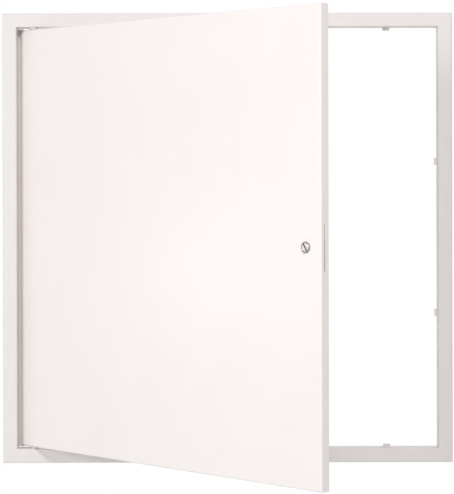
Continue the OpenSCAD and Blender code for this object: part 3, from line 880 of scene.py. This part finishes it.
# %% [markdown]
# A stiffener keeps the thin skin from drumming. It is folded like a flat hat: a crown, two walls, and two
# flanges that are welded to the skin. The knuckles are short straps, welded to the skin by a foot and
# curled round the rod. Both are folded strips, so a middle line gives each of them: half a line and its
# mirror image for the stiffener, one whole line for a knuckle.

# %% Stiffener behind the skin
STIFF_SHEET = 1.0
STIFF_HALF_W = 15.0
STIFF_DEPTH = 9.0
STIFF_FLANGE = 12.0
STIFF_R = 1.5
STIFF_HALF_L = 259.8
STIFF_WELDS = 4
STIFF_WELD_PITCH = 60.0
SKIN_BACK = FACE_Y + SHEET

foot = SKIN_BACK + STIFF_SHEET / 2
wall = STIFF_HALF_W - STIFF_SHEET / 2
crown = SKIN_BACK + STIFF_DEPTH - STIFF_SHEET / 2
side_line = [(STIFF_HALF_W + STIFF_FLANGE, foot)]
side_line += arc((wall + STIFF_R, foot + STIFF_R), STIFF_R, 270, 180)
side_line += arc((wall - STIFF_R, crown - STIFF_R), STIFF_R, 0, 90)
hat = side_line + [(-x, y) for x, y in side_line[::-1]]
stiffener = prism(strip(hat, STIFF_SHEET), -STIFF_HALF_L, STIFF_HALF_L)
welds = []
for weld_x in both(STIFF_HALF_W + WELD_INSET):
    for i in range(-STIFF_WELDS, STIFF_WELDS + 1):
        welds.append((weld_x, SKIN_BACK + STIFF_SHEET, STIFF_WELD_PITCH * i))
stiffener = soften(carve(stiffener, weld_dents(welds)), FINE_SOFT)
show(stiffener, "painted_stiffener", "door", painted_door, "door_stiffener", OPENED)

# %% Knuckles round the rod
KNUCKLE_SHEET = 1.5
KNUCKLE_HALF_L = 20.0
KNUCKLE_Z = 230.0
KNUCKLE_FOOT = 20.0
KNUCKLE_WELD = 11.0
HEEL_R = 1.55
CURL_END = 298.0
CURL_STEPS = 40
leg_x = ROD_BORE + KNUCKLE_SHEET / 2
foot_y = SKIN_BACK + KNUCKLE_SHEET / 2 - HINGE_Y
heel = (leg_x + HEEL_R, foot_y + HEEL_R)


def knuckle():
    """A strap with a foot on the skin, a leg and a curl round the rod."""
    line = [(heel[0] + KNUCKLE_FOOT, foot_y)]
    line += arc(heel, HEEL_R, 270, 180)
    line += arc((0, 0), leg_x, 0, CURL_END, CURL_STEPS)
    strap = prism(strip(line, KNUCKLE_SHEET), -KNUCKLE_HALF_L, KNUCKLE_HALF_L)
    face = foot_y + KNUCKLE_SHEET / 2
    welds = [(heel[0] + KNUCKLE_WELD, face, at) for at in both(KNUCKLE_WELD)]
    return soften(carve(strap, weld_dents(welds)), FINE_SOFT)


for name, height in (("top", KNUCKLE_Z), ("middle", 0), ("bottom", -KNUCKLE_Z)):
    on_rod = OPENED @ shift(HINGE_X, HINGE_Y, height)
    show(knuckle(), "painted_knuckle_" + name, "door", painted_door, "hinge_knuckle_" + name, on_rod)

# %% [markdown]
# The latch is a stack of small parts on one axis. The housing is turned, its barrel has two flats that
# keep it from turning in the door, and a thread for its nut. A thread is a formula here: each point of a
# plain barrel moves in by an amount that depends on its height and its angle, and one pitch of height is
# worth one turn.

# %% Helpers for latch parts
IN_DOOR = OPENED @ shift(LATCH_X, 0, 0)
WITH_CAM = IN_DOOR @ Matrix.Rotation(CAM_DOWN, 4, "Y")
NEAR = 0.01
THREAD_DEPTH = 0.35
THREAD_GAP = 0.05
POINTS_PER_PITCH = 6
NUT_CORNER_FALL = 0.4
NUT_COUNTERSINK = 0.4
NUT_SOFT = 0.08
BLANK_SPARE = 0.2
BORE_SPARE = 1.0


def thread(bm, radius, pitch, low, high):
    """Presses a helical groove into the points of a turned part that lie at the given radius."""
    for vert in bm.verts:
        out = math.hypot(vert.co.x, vert.co.y)
        if abs(out - radius) < NEAR and low - NEAR < vert.co.z < high + NEAR:
            phase = (vert.co.z / pitch - math.atan2(vert.co.y, vert.co.x) / math.tau) % 1
            inwards = (radius - THREAD_DEPTH * abs(2 * phase - 1)) / out
            vert.co.x *= inwards
            vert.co.y *= inwards
    return bm


def thread_side(radius, pitch, low, high):
    """Profile points up a straight side, close enough together to take a thread."""
    count = round((high - low) / pitch * POINTS_PER_PITCH)
    return [(radius, low + (high - low) * i / count) for i in range(count + 1)]


def hex_nut(across, hole, low, high):
    """A six-sided nut with chamfered corners and a countersunk hole, its corners on X."""
    flat_r = across / 2
    corner_r = flat_r / math.cos(math.radians(30))
    fall = NUT_CORNER_FALL * (corner_r - flat_r)
    blank_r = corner_r + BLANK_SPARE
    blank = lathe([(0, low), (flat_r, low), (blank_r, low + fall), (blank_r, high - fall),
                   (flat_r, high), (0, high)])
    nut = carve(prism(circle(corner_r, 6), low, high), blank, "INTERSECT")
    mouth_r = hole + NUT_COUNTERSINK + BORE_SPARE
    bore = lathe([(0, low - BORE_SPARE), (mouth_r, low - BORE_SPARE), (hole, low + NUT_COUNTERSINK),
                  (hole, high - NUT_COUNTERSINK), (mouth_r, high + BORE_SPARE), (0, high + BORE_SPARE)])
    return moved(soften(carve(nut, bore), NUT_SOFT), FACE_ON)


print("threads are", THREAD_DEPTH, "mm deep, with", POINTS_PER_PITCH, "points to a pitch")

# %% Housing and locknut
COLLAR_R = 7.0
COLLAR_Y = -5.0
COLLAR_CHAMFER = 0.3
COLLAR_EDGE_R = 0.5
COLLAR_STEPS = 5
SEAT_R = 5.5
SEAT_Y = -3.6
BORE_R = 4.05
BARREL_R = 6.0
BARREL_FLAT = 5.3
BARREL_BACK = 2.0
BARREL_PITCH = 0.75
BARREL_NECK = 0.05
LUG_IN = 5.0
LUG_OUT = 5.7
LUG_FROM = 120
LUG_TO = 150
LUG_BACK = 3.0
LUG_SUNK = 0.2
LUG_SOFT = 0.1
LOCKNUT_AF = 16.0
LOCKNUT_T = 2.6
TURNED_STEPS = 72

collar = [(BORE_R, BARREL_BACK), (BORE_R, SEAT_Y), (SEAT_R, SEAT_Y)]
collar += [(SEAT_R, COLLAR_Y + COLLAR_CHAMFER), (SEAT_R + COLLAR_CHAMFER, COLLAR_Y)]
collar += arc((COLLAR_R - COLLAR_EDGE_R, COLLAR_Y + COLLAR_EDGE_R), COLLAR_EDGE_R, -90, 0, COLLAR_STEPS)
collar += [(COLLAR_R, FACE_Y), (BARREL_R, FACE_Y), (BARREL_R, FACE_Y + BARREL_NECK)]
collar += thread_side(BARREL_R, BARREL_PITCH, SKIN_BACK, BARREL_BACK)
housing = thread(lathe(collar, TURNED_STEPS), BARREL_R, BARREL_PITCH, SKIN_BACK, BARREL_BACK)
for vert in housing.verts:
    if vert.co.z > FACE_Y + NEAR:
        vert.co.x = held(vert.co.x, BARREL_FLAT)
lug_outline = arc((0, 0), LUG_OUT, LUG_FROM, LUG_TO) + arc((0, 0), LUG_IN, LUG_TO, LUG_FROM)
lug = soften(prism(lug_outline, BARREL_BACK - LUG_SUNK, LUG_BACK), LUG_SOFT)
housing = moved(together([housing, lug]), FACE_ON)
collar_piece = show(housing, "nickel_housing", "door", satin, "latch_housing", IN_DOOR)
locknut = hex_nut(LOCKNUT_AF, BARREL_R + THREAD_GAP, SKIN_BACK, SKIN_BACK + LOCKNUT_T)
show(locknut, "bright_locknut", "door", bright_zinc, "latch_locknut", IN_DOOR)

# %% [markdown]
# The plug turns in the housing. Its head has a slot for a coin or a screwdriver, and behind it come a
# shaft, a square that drives the cam, and a threaded stud. The slot's faces take a darker nickel as
# painted shade, from just below the rounded edge down to the floor.

# %% Plug with its slot
HEAD_R = 5.4
HEAD_Y = -4.95
HEAD_BACK = -3.65
HEAD_CHAMFER = 0.4
HEAD_SOFT = 0.12
SHAFT_R = 4.0
DRIVE_HALF = 2.8
DRIVE_FROM = 2.2
DRIVE_TO = 4.65
DRIVE_SUNK = 0.1
STUD_R = 2.5
STUD_END = 10.3
STUD_PITCH = 0.8
STUD_CHAMFER = 0.4
STUD_SUNK = 0.5
STUD_STEPS = 48
SLOT_HALF = 1.0
SLOT_FLOOR = -3.95
SLOT_SPARE = 2.0
# The painted shade in the slot starts this far below the head's face, with a small spare round the slot.
SHADE_BELOW = 0.15
SHADE_SPARE = 0.05

head_side = [(0, HEAD_Y), (HEAD_R - HEAD_CHAMFER, HEAD_Y), (HEAD_R, HEAD_Y + HEAD_CHAMFER)]
head_side += [(HEAD_R, HEAD_BACK), (SHAFT_R, HEAD_BACK), (SHAFT_R, DRIVE_FROM), (0, DRIVE_FROM)]
head = lathe(head_side, TURNED_STEPS)
slot_end = HEAD_R + SLOT_SPARE
slot_tool = block((-slot_end, -SLOT_HALF, HEAD_Y - SLOT_SPARE), (slot_end, SLOT_HALF, SLOT_FLOOR))
head = soften(carve(head, slot_tool), HEAD_SOFT)
# Painted shade: the faces inside the slot take the darker nickel.
for face in head.faces:
    middle = face.calc_center_median()
    in_slot = abs(middle.y) < SLOT_HALF + SHADE_SPARE
    if in_slot and HEAD_Y + SHADE_BELOW < middle.z < SLOT_FLOOR + SHADE_SPARE:
        face.material_index = 1
drive = block((-DRIVE_HALF, -DRIVE_HALF, DRIVE_FROM - DRIVE_SUNK), (DRIVE_HALF, DRIVE_HALF, DRIVE_TO))
drive = soften(drive, FINE_SOFT)
thread_end = STUD_END - STUD_CHAMFER
tail = [(0, DRIVE_TO - STUD_SUNK), (STUD_R, DRIVE_TO - STUD_SUNK)]
tail += thread_side(STUD_R, STUD_PITCH, DRIVE_TO, thread_end)
tail += [(STUD_R - STUD_CHAMFER, STUD_END), (0, STUD_END)]
stud = thread(lathe(tail, STUD_STEPS), STUD_R, STUD_PITCH, DRIVE_TO, thread_end)
plug = moved(together([head, drive, stud]), FACE_ON)
plug_piece = show(plug, "nickel_plug", "latch", polished, "latch_plug", WITH_CAM, slot_painted_shade)

# %% [markdown]
# The polished plug and its collar lie flat in the door, so the small lamp at the far left would show in
# them as a white spot. In a studio a dark card, called a flag, is held between such a lamp and a shiny
# part. Light linking does the same: the lamp gets a collection of pieces that it doesn't reach.

# %% A flag for the small lamp
flagged = bpy.data.collections.new("kept from the sheen")
sheen_lamp.light_linking.receiver_collection = flagged
for piece in (collar_piece, plug_piece):
    flagged.objects.link(piece)
for entry in flagged.collection_objects:
    entry.light_linking.link_state = "EXCLUDE"

# %% [markdown]
# Behind the door a flat cam swings out through a slot in the door's edge and into the frame. A notched
# washer in front of it meets a lug on the housing and stops it after a quarter turn. Both are stamped
# from sheet and sit on the plug's square, so each is an outline with a square hole. A washer and a nut
# hold them on.

# %% Cam, stop washer, washer and nut
STOP_WASHER_R = 7.5
STOP_WASHER_SOFT = 0.1
NOTCH_R = 4.85
NOTCH_HALF = 62.0
CAM_Y = 3.2
CAM_BACK = 4.7
CAM_REACH = 37.0
CAM_SOFT = 0.25
HUB_R = 9.0
TIP_R = 5.0
HOLE_HALF = 2.85
HOLE_CUT = 20.0
STUD_HOLE_R = STUD_R + THREAD_GAP
WASHER_R = 6.0
NUT_Y = 5.7
NUT_AF = 8.0
NUT_T = 4.0
RIM_STEPS = 40
NOTCH_STEPS = 20
TIP_STEPS = 24

square_hole = block((-HOLE_HALF, -HOLE_HALF, -HOLE_CUT), (HOLE_HALF, HOLE_HALF, HOLE_CUT))
notched = arc((0, 0), STOP_WASHER_R, NOTCH_HALF - 180, 180 - NOTCH_HALF, RIM_STEPS)
notched += arc((0, 0), NOTCH_R, 180 - NOTCH_HALF, 180 + NOTCH_HALF, NOTCH_STEPS)
stop_washer = soften(carve(prism(notched, DRIVE_FROM, CAM_Y), square_hole.copy()), STOP_WASHER_SOFT)
show(moved(stop_washer, FACE_ON), "bright_stop_washer", "latch", bright_zinc, "cam_stop_washer", WITH_CAM)

tip = (CAM_REACH - TIP_R, 0)
lean = math.degrees(math.asin((HUB_R - TIP_R) / tip[0]))
lever = arc((0, 0), HUB_R, 90 - lean, 270 + lean, RIM_STEPS)
lever += arc(tip, TIP_R, lean - 90, 90 - lean, TIP_STEPS)
cam = soften(carve(prism(lever, CAM_Y, CAM_BACK), square_hole), CAM_SOFT)
show(moved(cam, FACE_ON), "bright_cam", "latch", bright_zinc, "latch_cam", WITH_CAM)

ring = [(STUD_HOLE_R, CAM_BACK), (WASHER_R, CAM_BACK), (WASHER_R, NUT_Y), (STUD_HOLE_R, NUT_Y)]
washer = soften(lathe(ring), FINE_SOFT)
show(moved(washer, FACE_ON), "bright_washer", "latch", bright_zinc, "cam_washer", WITH_CAM)
cam_nut = hex_nut(NUT_AF, STUD_HOLE_R, NUT_Y, NUT_Y + NUT_T)
show(cam_nut, "bright_cam_nut", "latch", bright_zinc, "cam_nut", WITH_CAM)
